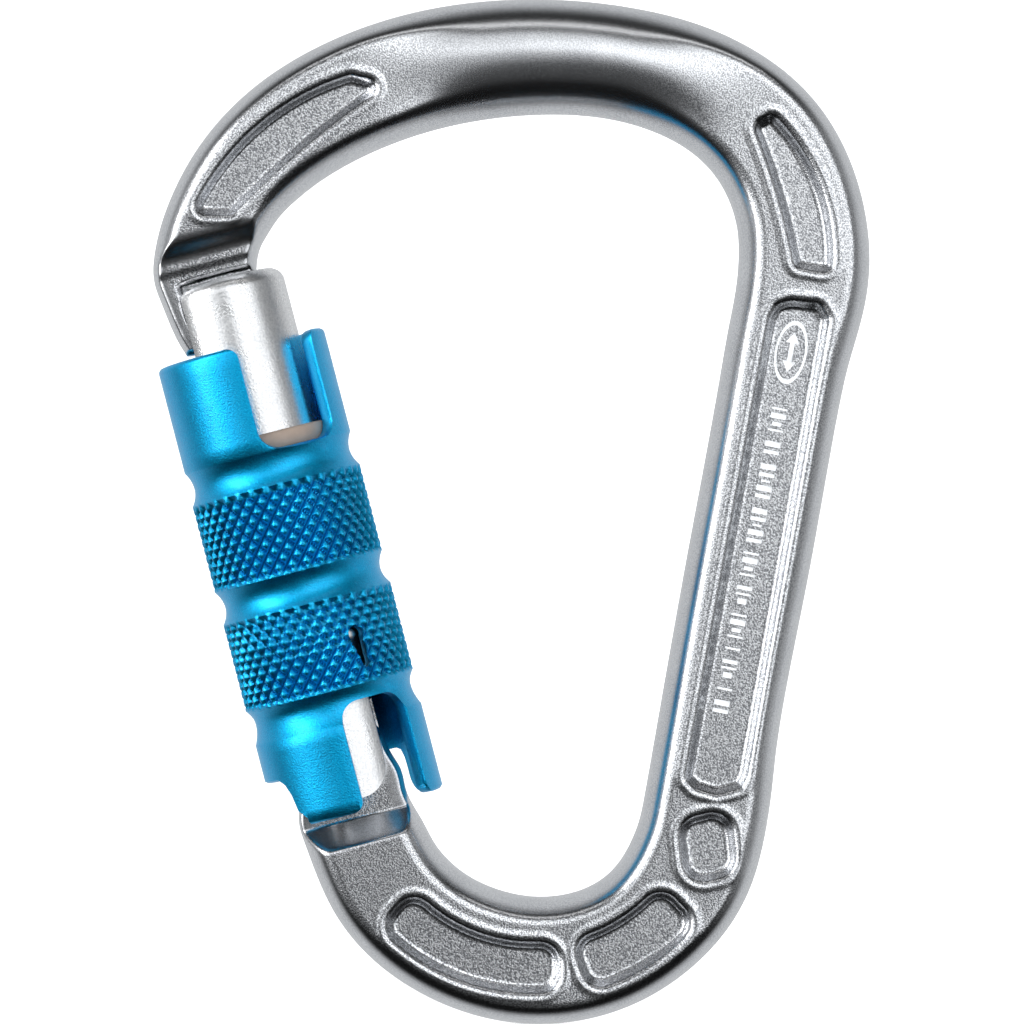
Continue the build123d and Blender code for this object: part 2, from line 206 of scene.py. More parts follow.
def arc_through(start, middle, end, count):
    """Points on the circle through three points."""
    (ax, ay), (bx, by), (cx, cy) = start, middle, end
    twist = 2 * (ax * (by - cy) + bx * (cy - ay) + cx * (ay - by))
    a2, b2, c2 = ax * ax + ay * ay, bx * bx + by * by, cx * cx + cy * cy
    centre = ((a2 * (by - cy) + b2 * (cy - ay) + c2 * (ay - by)) / twist,
              (a2 * (cx - bx) + b2 * (ax - cx) + c2 * (bx - ax)) / twist)
    first, last = (degrees(atan2(p[1] - centre[1], p[0] - centre[0])) for p in (start, end))
    sweep = (last - first + 180) % 360 - 180
    return arc(centre, hypot(ax - centre[0], ay - centre[1]), first, first + sweep, count)


def ease(low, high, value):
    """Smooth rise from 0 at low to 1 at high."""
    t = np.clip((value - low) / (high - low), 0, 1)
    return t * t * (3 - 2 * t)


# ---- forged frame --------------------------------------------------------------------------
# outer and inner points of the bar, from the nose round the bows to the hinge
RIBS = [
    (gate_point(-5.9, 46.83), gate_point(3.5, 47.12)),
    (gate_point(-6.45, 48.6), gate_point(3.5, 49.2)),
    (gate_point(-7.15, 53.1), gate_point(3.65, 53.2)),
    ((-42.62, -17.6), (-31.04, -15.1)), ((-42.3, -14.3), (-30.3, -13.5)),
    ((-41.4, -11.0), (-29.3, -11.9)), ((-38.2, -4.4), (-27.2, -9.6)),
    ((-32.5, 2.2), (-24.0, -7.1)), ((-25.4, 7.0), (-19.4, -4.5)),
    ((-15.5, 10.85), (-12.2, -1.8)), ((-0.5, 12.7), (-0.4, 0.0)),
    ((10.9, 11.6), (8.4, -0.65)), ((20.8, 8.5), (15.1, -3.15)),
    ((29.5, 2.2), (19.3, -6.9)), ((34.9, -7.7), (21.45, -11.8)),
    ((36.1, -14.9), (21.75, -15.2)), ((35.6, -20.9), (21.45, -19.0)),
    ((33.85, -27.4), (20.5, -24.1)), ((33.05, -30.8), (19.75, -28.4)),
    ((29.4, -50.7), (16.1, -48.3)), ((25.8, -70.4), (12.6, -68.0)),
    ((25.0, -77.0), (11.3, -75.3)), ((23.5, -83.6), (10.6, -78.2)),
    ((19.96, -90.2), (9.1, -81.4)), ((12.15, -96.8), (6.0, -84.5)),
    ((-0.5, -99.94), (-0.3, -86.0)), ((-12.2, -97.08), (-6.5, -84.5)),
    ((-18.81, -92.56), (-9.6, -82.5)), ((-23.16, -86.9), (-11.7, -80.1)),
    (gate_point(-6.85, -8.45), gate_point(6.1, -8.5)),
    (gate_point(-6.85, -5.5), gate_point(5.4, -5.5)),
]
# the tang round the rivet: height, left and right in the gate's frame
TANG_HEAD = [(-3.0, -5.8, 5.4), (0.0, -4.6, 4.6), (1.6, -4.1, 4.4), (2.6, -2.6, 3.8), (3.4, -1.0, 3.2)]

# cores of the pockets; a pocket reaches its rounding past its core
TOP_LEFT = (arc_through((-36.6, -10.3), (-30.1, -2.2), (-20.8, 2.9), 14)
            + arc_through((-19.1, 2.5), (-26.6, -3.2), (-34.1, -10.3), 14))
TOP_RIGHT = (arc_through((30.75, -16.5), (29.7, -9.2), (25.0, -1.5), 14)
             + arc_through((24.3, -1.9), (26.8, -9.0), (28.5, -16.1), 14))
SPINE = [(25.9, -22.9), (16.9, -72.3), (17.4, -72.8), (19.1, -73.3), (21.0, -72.8), (21.4, -72.0),
         (30.2, -22.9), (29.7, -22.0), (27.2, -21.75), (26.4, -22.0)]
OVAL = [(17.7, -81.6), (18.9, -81.3), (18.6, -78.8), (17.4, -79.1)]
LOW_LEFT = arc((-0.9, -73), 19.8, -131.0, -88.0, 14) + arc((-0.9, -73), 20.9, -88.0, -131.0, 14)
LOW_RIGHT = arc((-0.9, -73), 20.0, -69.7, -46.0, 10) + arc((-0.9, -73), 21.5, -46.0, -69.7, 10)
# core and rounding
POCKETS = [(TOP_LEFT, 1.3), (TOP_RIGHT, 1.3), (SPINE, 1.4), (OVAL, 2.6), (LOW_LEFT, 2.5), (LOW_RIGHT, 2.5)]
# places where the mesh has closer rows
POCKET_ENDS = [(-37.2, -11), (-18.3, 3), (24.8, -1), (29.8, -17), (28.5, -21), (18.4, -74), (18.2, -77),
               (18.2, -84), (-14, -88), (1.5, -95), (4, -94), (16, -88)]
ROUND_FROM, ROUND_TO = (-19.5, -5.0), (9.0, 23.5)      # x where the wide bow's round stretch fades
ROW_STEP, ROW_EXTRA = 0.22, 0.38        # spacing of close rows, and what is added to it elsewhere
CLOSE_ROWS = (4.0, 7.0)                 # distance at which close rows start and finish opening out


def spline(knots, values, at):
    """Natural cubic spline through the values."""
    h = np.diff(knots)
    count = len(knots)
    system, right = np.eye(count), np.zeros((count, values.shape[1]))
    for i in range(1, count - 1):
        system[i, i - 1:i + 2] = h[i - 1], 2 * (h[i - 1] + h[i]), h[i]
        right[i] = 6 * ((values[i + 1] - values[i]) / h[i] - (values[i] - values[i - 1]) / h[i - 1])
    bend = np.linalg.solve(system, right)
    i = np.clip(np.searchsorted(knots, at, side="right") - 1, 0, count - 2)
    a, b, step = (knots[i + 1] - at)[:, None], (at - knots[i])[:, None], h[i][:, None]
    curve = (bend[i] * a ** 3 + bend[i + 1] * b ** 3) / (6 * step)
    from_left = (values[i] / step - bend[i] * step / 6) * a
    from_right = (values[i + 1] / step - bend[i + 1] * step / 6) * b
    return curve + from_left + from_right


def stations():
    """Outer and inner points along the bar, close together where pockets end and steps run."""
    ribs = np.array(RIBS + [(gate_point(left, z), gate_point(right, z)) for z, left, right in TANG_HEAD])
    middle = ribs.mean(axis=1)
    knots = np.concatenate([[0], np.cumsum(np.linalg.norm(np.diff(middle, axis=0), axis=1))])
    fine = np.linspace(0, knots[-1], 4000)
    line = spline(knots, middle, fine)
    centres = np.array(POCKET_ENDS + [gate_point(-1, 57), gate_point(0, -8), gate_point(0, 0)])
    near = np.linalg.norm(line[:, None] - centres[None], axis=2).min(axis=1)
    spacing = ROW_STEP + ROW_EXTRA * ease(*CLOSE_ROWS, near)
    travel = np.concatenate([[0], np.cumsum(np.diff(fine) / spacing[1:])])
    places = np.interp(np.linspace(0, travel[-1], int(travel[-1])), travel, fine)
    both = spline(knots, ribs.reshape(len(ribs), 4), places)
    return both[:, :2], both[:, 2:]


def section(width, roundness):
    """Half a cross-section, from the outer edge to the inner: distance across and height."""
    turn = np.linspace(0, pi / 2, 14)
    land = np.linspace(EDGE, width - EDGE, 37)[1:-1]
    edge_across, edge_height = EDGE * (1 - np.cos(turn)), HALF * np.sin(turn)
    across = np.concatenate([edge_across, land, width - edge_across[::-1]])
    height = np.concatenate([edge_height, land * 0 + HALF, edge_height[::-1]])
    length = np.concatenate([[0], np.cumsum(np.hypot(np.diff(across), np.diff(height)))])
    angle = pi * length / length[-1]
    across = across * (1 - roundness) + width / 2 * (1 - np.cos(angle)) * roundness
    height = height * (1 - roundness) + HALF * np.sin(angle) * roundness
    return across, height


def polygon_distance(points, corners):
    """Distance from each point to a closed outline, negative inside."""
    nearest = np.full(len(points), 1e9)
    inside = np.zeros(len(points), bool)
    for start, end in zip(np.array(corners), np.roll(np.array(corners), -1, axis=0)):
        edge, reach = end - start, points - start
        t = np.clip(reach @ edge / (edge @ edge), 0, 1)
        nearest = np.minimum(nearest, np.linalg.norm(reach - t[:, None] * edge, axis=1))
        crosses = (start[1] > points[:, 1]) != (end[1] > points[:, 1])
        rise = edge[1] if edge[1] else 1e-9
        inside ^= crosses & (points[:, 0] < start[0] + (points[:, 1] - start[1]) / rise * edge[0])
    return np.where(inside, -nearest, nearest)


def pocket_depth(points):
    """How far the faces are pressed in at each x and z; negative on the beads round the pockets."""
    depth, bead = np.zeros(len(points)), np.zeros(len(points))
    for corners, rounding in POCKETS:
        inward = rounding - polygon_distance(points, corners)
        depth = np.maximum(depth, POCKET_DEPTH * ease(0.0, POCKET_WALL, inward))
        rise = ease(-BEAD_WIDTH, -BEAD_WIDTH * 0.45, inward) * (1 - ease(-BEAD_WIDTH * 0.35, 0.1, inward))
        bead = np.maximum(bead, BEAD * rise)
    return depth - bead


def soft_limit(height, limit):
    """The smaller of the two, with a small round where they meet."""
    gap = height - limit
    return (height + limit - np.sqrt(gap * gap + STEP_SOFTNESS ** 2)) / 2 + STEP_SOFTNESS / 2


def nose_limit(z):
    """Half thickness along the nose: a shallow ledge by the gate, then the main ramp."""
    return NOSE_HALF + sum(rise * ease(low, high, z) for low, high, rise in NOSE_STEPS)


def hinge_limit(z):
    """Half thickness along the ramp from the tang out to the full bar."""
    start, end, half = HINGE_STEP
    return half + (HALF - half) * np.clip((z - start) / (end - start), 0, 1)


def thin_ends(points, height):
    """Thin the forging to its nose and to its tang; also says which points are on the ramps."""
    du, dz = points[:, 0] - RIVET[0], points[:, 1] - RIVET[1]
    u, z = du * cos(TILT) + dz * sin(TILT), dz * cos(TILT) - du * sin(TILT)
    # the two ends lie in these boxes of the gate's frame
    nose = (z > 40) & (u < 12) & (u > -9)
    tang = (z < 8) & (abs(u) < 9) & (z > -14)
    limited = np.where(nose, np.minimum(height, soft_limit(height, nose_limit(z))), height)
    limited = np.where(tang, np.minimum(limited, soft_limit(limited, hinge_limit(z))), limited)
    radius = NOSE_ROUND + NOSE_ROUND_FLARE * np.clip(z - NOSE_ROUND_TOP, 0, None)
    rounded = np.sqrt(np.clip(radius ** 2 - u * u, 0, None))
    limited = np.where(nose & (z < NOSE_STEPS[0][0]), np.minimum(limited, rounded), limited)
    reach = np.hypot(u, z)
    neck = nose * ease(NOSE_NECK_R[0] - NECK_FALL, NOSE_NECK_R[0], reach)
    neck = neck * (1 - ease(NOSE_NECK_R[1], NOSE_NECK_R[1] + NECK_FALL, reach))
    neck = neck * ease(LIP_EDGE - NECK_FALL, LIP_EDGE, u)
    necked = limited + (np.minimum(limited, NOSE_NECK_HALF) - limited) * neck
    ramp = (nose & (z > NOSE_STEPS[1][0]) & (z < NOSE_STEPS[1][1])
            | tang & (z > HINGE_STEP[1]) & (z < HINGE_STEP[0]))
    return necked, ramp


def build_frame_mesh():
    """The forging, swept along its bar, with the vertex attribute "land": 1 on flat faces, 0 on sides."""
    outer, inner = stations()
    middle_x = (outer[:, 0] + inner[:, 0]) / 2
    upper = (outer[:, 1] + inner[:, 1]) / 2 > -20
    roundness = ease(*ROUND_FROM, middle_x) * (1 - ease(*ROUND_TO, middle_x)) * upper
    half_rows, land_rows = [], []
    for start, end, amount in zip(outer, inner, roundness):
        width = hypot(*(end - start))
        across, height = section(width, amount)
        points = start + (end - start) * (across / width)[:, None]
        flatness = ease(HALF - LAND_FALL, HALF - 0.02, height) * (1 - amount)
        height, ramp = thin_ends(points, height)
        flatness = flatness * (1 - RAMP_POLISH * ramp)
        full_height = height > HALF - 0.5
        height = height - pocket_depth(points) * full_height
        half_rows.append(np.column_stack([points[:, 0], height, points[:, 1]]))
        land_rows.append(flatness)
    vertices, land = [], []
    for row, flatness in zip(half_rows, land_rows):
        front = row * (1, -1, 1)
        vertices += [front, row[-2:0:-1]]
        land += [flatness, flatness[-2:0:-1]]
    columns = 2 * len(half_rows[0]) - 2
    made = mesh_object("frame_forging", np.concatenate(vertices), capped(len(half_rows), columns))
    outward(made)
    grain = made.data.attributes.new("land", "FLOAT", "POINT")
    grain.data.foreach_set("value", np.concatenate(land).astype(np.float32))
    cut(made, rivet_hole())
    return made


def rivet_hole():
    """Cutter for the hole through the tang."""
    angles = np.linspace(0, 2 * pi, 33)[:-1]
    return slab_cutter([gate_point(RIVET_HOLE_R * cos(a), RIVET_HOLE_R * sin(a)) for a in angles], HALF + 2)


# ---- turned shapes -------------------------------------------------------------------------
def lathe(name, profile, columns=96, place=None, closed=False):
    """Turn a profile of radius and height round z. A closed profile makes a ring."""
    vertices = [(r * cos(a), r * sin(a), z) for r, z in profile
                for a in np.linspace(0, 2 * pi, columns, endpoint=False)]
    rows = len(profile)
    faces = ring_faces(rows, columns, True) if closed else capped(rows, columns)
    made = mesh_object(name, vertices, faces, place)
    outward(made)
    return made


# ---- gate ----------------------------------------------------------------------------------
def rounded_fork_sides():
    """The two cutters that flatten the fork and round its lower corners."""
    below = GATE_END - 2
    outline = [(0.0, below), (0.0, GATE_END)]
    outline += arc((FORK_HALF - FORK_ROUND, GATE_END + FORK_ROUND), FORK_ROUND, -90, 0, 9)
    outline += [(FORK_HALF, FORK_TOP), (CUT_REACH, FORK_TOP), (CUT_REACH, below)]
    return [slab_cutter([(side * u, z) for u, z in outline], CUT_REACH) for side in (-1, 1)]


def build_gate_mesh():
    """Gate bar with its fork, spring bore and keylock slot, all edges eased."""
    dome = [(GATE_R - GATE_ROUND + GATE_ROUND * cos(a), GATE_TOP - GATE_ROUND + GATE_ROUND * sin(a))
            for a in np.linspace(0, pi / 2, 9)]
    halfway = 20                    # height of one more row of points
    side = [(GATE_R, GATE_END), (GATE_R, halfway)]
    made = lathe("gate_bar", side + dome + [(GATE_FLAT_R, GATE_TOP)], 128)
    cut(made, *rounded_fork_sides(),
        box_cutter((-CUT_REACH, -FORK_SLOT_HALF, GATE_END - 1), (CUT_REACH, FORK_SLOT_HALF, FORK_SLOT_TOP)),
        lathe("cutter", [(BORE_R, 0), (BORE_R, BORE_TOP)], 48),
        box_cutter((-CUT_REACH, -SLOT_NECK_HALF, SLOT_FLOOR), (SLOT_END, SLOT_NECK_HALF, CUT_TOP)),
        box_cutter((-CUT_REACH, -SLOT_HALF, SLOT_FLOOR), (LIP_EDGE, SLOT_HALF, CUT_TOP)),
        keylock_room())
    modify(made, "BEVEL", width=GATE_BEVEL * MM, segments=2, limit_method="ANGLE", angle_limit=radians(38))
    apply_modifiers(made)
    made.data.transform(GATE_PLACE)
    shade_by_angle(made, 35)
    return made


def keylock_room():
    """The wider part of the slot, under an arc about the hinge, for the nose's head."""
    top = NOSE_NECK_R[0] + SLOT_CLEARANCE
    outer = -8                      # outside the gate's wall
    curve = [(u, sqrt(top * top - u * u)) for u in np.linspace(SLOT_END, outer, 13)]
    return slab_cutter([(outer, SLOT_FLOOR), (SLOT_END, SLOT_FLOOR)] + curve, SLOT_HALF)


# ---- sleeve --------------------------------------------------------------------------------
def plain_radius(z):
    """The sleeve's outer radius, grooves included and knurling left out."""
    for low, middle, high in GROOVES:
        if low <= z <= high:
            edge = high if z > middle else low
            edge_r = SLEEVE_R if edge in (GROOVES[0][2], GROOVES[-1][0]) else KNURL_R
            return GROOVE_R + (edge_r - GROOVE_R) * ((z - middle) / (edge - middle)) ** 2
    return KNURL_R if any(low < z < high for low, high in BANDS) else SLEEVE_R


def sleeve_heights():
    """Rows of the outer surface from top to bottom, close together across the knurling."""
    rows = list(np.linspace(SLEEVE_TOP - SLEEVE_ROUND, GROOVES[0][2], 8))
    for (low, _, high), band in zip(GROOVES, BANDS + [None]):
        rows += list(np.linspace(high, low, 17))[1:]
        if band:
            count = round((band[1] - band[0]) / (PITCH / KNURL_STEPS))
            rows += list(np.linspace(band[1], band[0], count + 1))[1:]
    return rows + list(np.linspace(GROOVES[-1][0], SLEEVE_END + SLEEVE_CHAMFER, 9))[1:]


def knurl_height(column, z):
    """Height of the diamond knurling between its grooves (0) and its peaks (1)."""
    turn, climb = column / KNURL_STEPS, z / PITCH
    rising, falling = (abs((turn + side * climb) % 1 - 0.5) * 2 for side in (1, -1))
    return min(1 - rising, 1 - falling, KNURL_FLAT) / KNURL_FLAT


def outer_row(z, columns):
    """Radius and height of each column of the sleeve's outer surface at one height."""
    radius = plain_radius(z)
    band = next(((low, high) for low, high in BANDS if low <= z <= high), None)
    if band is None:
        return [(radius, z)] * columns
    fade = float(ease(0, KNURL_FADE, min(z - band[0], band[1] - z)))
    return [(radius - fade * KNURL_DEPTH * (1 - knurl_height(column, z - band[0])), z)
            for column in range(columns)]


def build_sleeve_mesh():
    """The sleeve: rounded rim, outer surface and bore as one ring, then its openings and its skirt."""
    columns = DIAMONDS * KNURL_STEPS
    angles = np.linspace(0, 2 * pi, columns, endpoint=False)
    rim = [(SLEEVE_R - SLEEVE_ROUND * (1 - sin(turn)), SLEEVE_TOP - SLEEVE_ROUND * (1 - cos(turn)))
           for turn in np.linspace(0, pi / 2, 5)]
    bore = [(SLEEVE_R - SLEEVE_CHAMFER, SLEEVE_END), (BORE + BORE_CHAMFER, SLEEVE_END),
            (BORE, SLEEVE_END + BORE_CHAMFER), (BORE, TRACK[0]), (TRACK_R, TRACK[0]),
            (TRACK_R, TRACK[1]), (BORE, TRACK[1]), (BORE, SLEEVE_TOP - SLEEVE_CHAMFER),
            (BORE + SLEEVE_CHAMFER, SLEEVE_TOP)]
    rows = [[point] * columns for point in rim]
    rows += [outer_row(z, columns) for z in sleeve_heights()]
    rows += [[point] * columns for point in bore]
    vertices = [(r * cos(a), r * sin(a), z) for row in rows for (r, z), a in zip(row, angles)]
    made = mesh_object("sleeve_shell", vertices, ring_faces(len(rows), columns, True))
    outward(made)
    cut(made, wall_cutter(NOTCH_ANGLE, notch_outline), wall_cutter(SLOT_ANGLE, lower_slot_outline),
        skirt_cutter(), wall_cutter(PIN_ANGLE, window_outline))
    mark_groove_shade(made)
    made.data.transform(GATE_PLACE)
    shade_by_angle(made, 50)
    return made


def mark_groove_shade(made):
    """Vertex attribute for painted shade: 1 at the bottom of the knurling's grooves, 0 on peaks and
    elsewhere.
    """
    places = np.array([v.co for v in made.data.vertices]) / MM
    radius, height = np.hypot(places[:, 0], places[:, 1]), places[:, 2]
    margin = 0.2
    banded = sum((height > low + margin) & (height < high - margin) for low, high in BANDS)
    outside = radius > TRACK_R + margin
    depth = np.clip((KNURL_R - radius) / KNURL_DEPTH, 0, 1) * banded * outside
    groove_shade = made.data.attributes.new("groove_shade", "FLOAT", "POINT")
    groove_shade.data.foreach_set("value", depth.astype(np.float32))


# the right leg's rounded tip: angle past its rear edge, and height
LEG_TIP = [(degrees(LEG_ROUND * (1 - cos(a)) / SLEEVE_R), SLEEVE_END + LEG_ROUND * (1 - sin(a)))
           for a in np.linspace(0, pi / 2, 8)] + [(14.0, SLEEVE_END - 0.4), (15.0, -8.0)]


def wall_direction(angle):
    """Unit vector round the gate: 0 faces -Y and 90 faces +X."""
    return np.array([sin(radians(angle)), -cos(radians(angle))])


def wall_cutter(angle, outline):
    """A parallel-sided cutter through one wall, flared a little at the outer surface."""
    out = wall_direction(angle)
    along = np.array([-out[1], out[0]])
    near, far = 4.0, 14.0           # flat ends, well inside the bore and outside the wall
    layers = [(near, None, 0.0), (None, RIM_R, 0.0), (None, KNURL_R, RIM_FLARE), (far, None, RIM_FLARE)]
    vertices = []
    for depth, radius, flare in layers:
        for v, z in outline(flare):
            reach = depth if depth else sqrt(radius * radius - v * v)
            x, y = out * reach + along * v
            vertices.append((x, y, z))
    return mesh_object("cutter", vertices, capped(len(layers), len(outline(0.0))))


def u_outline(half, floor, mouth, corner, lip, flare):
    """A slot outline open at its mouth; heights run from floor to mouth, either way up."""
    way = 1 if mouth > floor else -1
    half, floor = half + flare, floor - way * flare
    corner += flare
    right = [(half - corner + corner * sin(a), floor + way * corner * (1 - cos(a)))
             for a in np.linspace(0, pi / 2, 8)]
    right += [(half + lip * (1 - cos(a)), mouth - way * lip * (1 - sin(a)))
              for a in np.linspace(0, pi / 2, 7)]
    right += [(half + lip, mouth + way * 3)]
    return right + [(-v, z) for v, z in right[::-1]]


def notch_outline(flare):
    return u_outline(NOTCH_HALF, NOTCH_FLOOR, SLEEVE_TOP, NOTCH_CORNER, NOTCH_LIP, flare)


def lower_slot_outline(flare):
    return u_outline(LOWER_SLOT_HALF, LOWER_SLOT_FLOOR, SLEEVE_END, LOWER_SLOT_CORNER, LOWER_SLOT_LIP, flare)


def window_outline(flare):
    """Teardrop window: round over the pin, drawn out to a slanted tail below."""
    wide = flare * 0.4
    top = arc((0, PIN_Z - 0.1), WINDOW_R + wide, -25, 205, 12)
    return top + [(-0.4 - wide, PIN_Z - 1.8), (0.0 - wide, PIN_Z - 3.5), (0.35, PIN_Z - 3.9 - wide),
                  (0.75 + wide, PIN_Z - 3.5), (0.78 + wide, PIN_Z - 1.4)]


def skirt_cutter():
    """Clears the wall round the back below the skirt, leaving the two legs; edge is angle and height."""
    edge = [(-34.0, -8.0), (-35.8, -5.5), (-38.5, -5.1), (-42.1, -4.6), (-44.6, -2.75), (-48.5, -1.5),
            (-55.0, SKIRT_END)]
    edge += [(angle, SKIRT_END) for angle in range(-65, -220, -10)]
    edge += [(LEG_BACK + 8, SKIRT_END), (LEG_BACK + 3, SKIRT_END - 0.3), (LEG_BACK + 0.5, SKIRT_END - 1.2),
             (LEG_BACK, SKIRT_END - 2.2)]
    edge += [(LEG_BACK - across, z) for across, z in LEG_TIP]
    near, bottom = 6.5, -9          # the cutter's inner radius and its lower end
    layers = [(near, 0.0), (RIM_R, 0.0), (KNURL_R, RIM_FLARE), (CUT_REACH, RIM_FLARE)]
    vertices = []
    for angle, z in edge:
        x, y = wall_direction(angle)
        vertices += [(x * r, y * r, z + lift) for r, lift in layers]
        vertices += [(x * r, y * r, bottom) for r in (CUT_REACH, near)]
    return mesh_object("cutter", vertices, capped(len(edge), len(layers) + 2))


# ---- small parts ---------------------------------------------------------------------------
def build_rivet():
    """Rivet with both ends peened to a low dome."""
    half = [(1.3, 0), (1.3, 6.1), (1.18, 6.35), (0.8, 6.5), (0.35, 6.42)]
    profile = [(r, -z) for r, z in half[:0:-1]] + half
    turn = Matrix.Translation((RIVET[0] * MM, 0, RIVET[1] * MM)) @ Matrix.Rotation(pi / 2, 4, "X")
    return lathe("rivet_pin", profile, 48, turn)


def build_ring():
    """Plastic ring that centres the sleeve, with chamfered rims."""
    inner, outer = RING_BORE_R + 0.18, RING_R - 0.22        # where the chamfers end
    profile = [(RING_BORE_R, RING_LOW + 0.2), (inner, RING_LOW), (outer, RING_LOW),
               (RING_R, RING_LOW + 0.25), (RING_R, RING_HIGH - 0.25), (outer, RING_HIGH),
               (inner, RING_HIGH), (RING_BORE_R, RING_HIGH - 0.2)]
    return lathe("centring_ring", profile, 96, GATE_PLACE, closed=True)


def build_guide_pin():
    """Guide pin with a domed outer end."""
    profile = [(PIN_R, 3.4), (PIN_R, 7.8), (0.72, 8.0), (0.5, 8.13), (0.2, 8.2)]
    x, y = wall_direction(PIN_ANGLE)
    turn = Vector((0, 0, 1)).rotation_difference(Vector((x, y, 0))).to_matrix().to_4x4()
    return lathe("guide_pin_turned", profile, 32, GATE_PLACE @ Matrix.Translation((0, 0, PIN_Z * MM)) @ turn)


def build_plunger():
    """Follower with a round tip."""
    profile = [(0.25, 3.93), (0.64, 4.16), (0.9, 4.8), (2.05, 6.0), (2.2, 6.2), (2.2, 12.8), (2.0, 13.0)]
    return lathe("plunger_turned", profile, 48, GATE_PLACE)


def build_gate_coil():
    """Compression spring in the gate's bore, behind the follower."""
    steps, around = COIL_TURNS * 32 + 1, 10
    low, high = COIL_LOW + COIL_WIRE, BORE_TOP - COIL_WIRE
    vertices = []
    for turn, z in zip(np.linspace(0, 2 * pi * COIL_TURNS, steps), np.linspace(low, high, steps)):
        for a in np.linspace(0, 2 * pi, around, endpoint=False):
            radius = COIL_R + COIL_WIRE * cos(a)
            vertices.append((radius * cos(turn), radius * sin(turn), z + COIL_WIRE * sin(a)))
    made = mesh_object("gate_coil", vertices, capped(steps, around), GATE_PLACE)
    outward(made)
    return made


def squeeze(coil):
    """Give the coil a mesh of its own; its length is left as built."""
    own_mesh(coil)


# etched marks, as distance down the spine from their origin and distance across it
MARK_ORIGIN, MARK_THICKNESS = np.array([27.9, -22.9]), 0.02
MARK_DOWN, MARK_SIDE = np.array([-0.193, -0.981]), np.array([0.981, -0.193])
ARROW = [(1.2, 0), (2.4, 0.75), (2.4, 0.25), (4.4, 0.25), (4.4, 0.75), (5.6, 0), (4.4, -0.75),
         (4.4, -0.25), (2.4, -0.25), (2.4, -0.75)]
EMBLEM_MIDDLE, EMBLEM_HALF, EMBLEM_INNER = 3.4, (3.5, 1.75), 0.86     # an oval line round the arrow
STROKES_FROM, STROKE_GROUPS = 9.6, (4, 2, 5, 5, 4, 3, 4, 1, 3, 1, 2)
STROKE_WIDTHS, STROKE_HALVES = (0.42, 0.22, 0.6), (0.85, 0.85, 0.5)
STROKE_GAP, GROUP_GAP = 0.38, 0.75


def mark_shapes():
    """Outlines of the generic marks: an arrow in an oval and coded bars, no lettering."""
    shapes = [ARROW]
    long_half, short_half = EMBLEM_HALF
    turns = np.linspace(0, 2 * pi, 41)
    for a, b in zip(turns, turns[1:]):
        corners = (a, 1), (b, 1), (b, EMBLEM_INNER), (a, EMBLEM_INNER)
        shapes.append([(EMBLEM_MIDDLE + r * long_half * cos(t), r * short_half * sin(t)) for t, r in corners])
    place = STROKES_FROM
    for group in STROKE_GROUPS:
        for stroke in range(group):
            width, half = STROKE_WIDTHS[(stroke + group) % 3], STROKE_HALVES[stroke % 3]
            shapes.append([(place, -half), (place + width, -half), (place + width, half), (place, half)])
            place += width + STROKE_GAP
        place += GROUP_GAP
    return shapes


def etched_marks():
    """The marks as thin plates on the spine pocket's floor."""
    height = -(HALF - POCKET_DEPTH) - MARK_THICKNESS
    vertices, faces = [], []
    for shape in mark_shapes():
        faces.append(tuple(range(len(vertices), len(vertices) + len(shape))))
        for down, across in shape:
            x, z = MARK_ORIGIN + MARK_DOWN * down + MARK_SIDE * across
            vertices.append((x, height, z))
    made = mesh_object("etched_marks", vertices, faces)
    modify(made, "SOLIDIFY", thickness=MARK_THICKNESS * MM)
    apply_modifiers(made)
    return made


# ---- materials -----------------------------------------------------------------------------
# features per metre
FORGING_GRAIN, GATE_GRAIN, SLEEVE_GRAIN, RING_GRAIN, MARK_GRAIN = 6200, 4200, 6000, 2600, 3200
STEEL_LINES = 1800
FORGING_CLOUD, GATE_CLOUD, SLEEVE_CLOUD, RING_CLOUD = 260, 300, 420, 700
# height of each surface's relief, in metres
FORGING_RELIEF, GATE_RELIEF, SLEEVE_RELIEF, RING_RELIEF = 0.00005, 0.00006, 0.00007, 0.00005
STEEL_RELIEF, MARK_RELIEF = 0.00004, 0.00003


def new_material(name, **inputs):
    """A material with its node tree and its Principled shader, set from the inputs given."""
    made = bpy.data.materials.new(name)
    made.use_nodes = True
    shader = made.node_tree.nodes["Principled BSDF"]
    for key, value in inputs.items():
        shader.inputs[key.replace("_", " ")].default_value = value
    return made, made.node_tree, shader


def link_noise(tree, scale, detail, stretch=(1, 1, 1)):
    """Noise in the object's own coordinates; scale is in features per metre."""
    place = tree.nodes.new("ShaderNodeTexCoord")
    mapping = tree.nodes.new("ShaderNodeMapping")
    mapping.inputs["Scale"].default_value = stretch
    noise = tree.nodes.new("ShaderNodeTexNoise")
    noise.inputs["Scale"].default_value = scale
    noise.inputs["Detail"].default_value = detail
    tree.links.new(place.outputs["Object"], mapping.inputs["Vector"])
    tree.links.new(mapping.outputs["Vector"], noise.inputs["Vector"])
    return noise.outputs["Fac"]


def spread(tree, value, low, high, from_low=0.3, from_high=0.7):
    """Map a value's range to another; the default suits noise, which keeps near its middle."""
    node = tree.nodes.new("ShaderNodeMapRange")
    node.inputs["From Min"].default_value = from_low
    node.inputs["From Max"].default_value = from_high
    node.inputs["To Min"].default_value = low
    node.inputs["To Max"].default_value = high
    tree.links.new(value, node.inputs["Value"])
    return node.outputs["Result"]


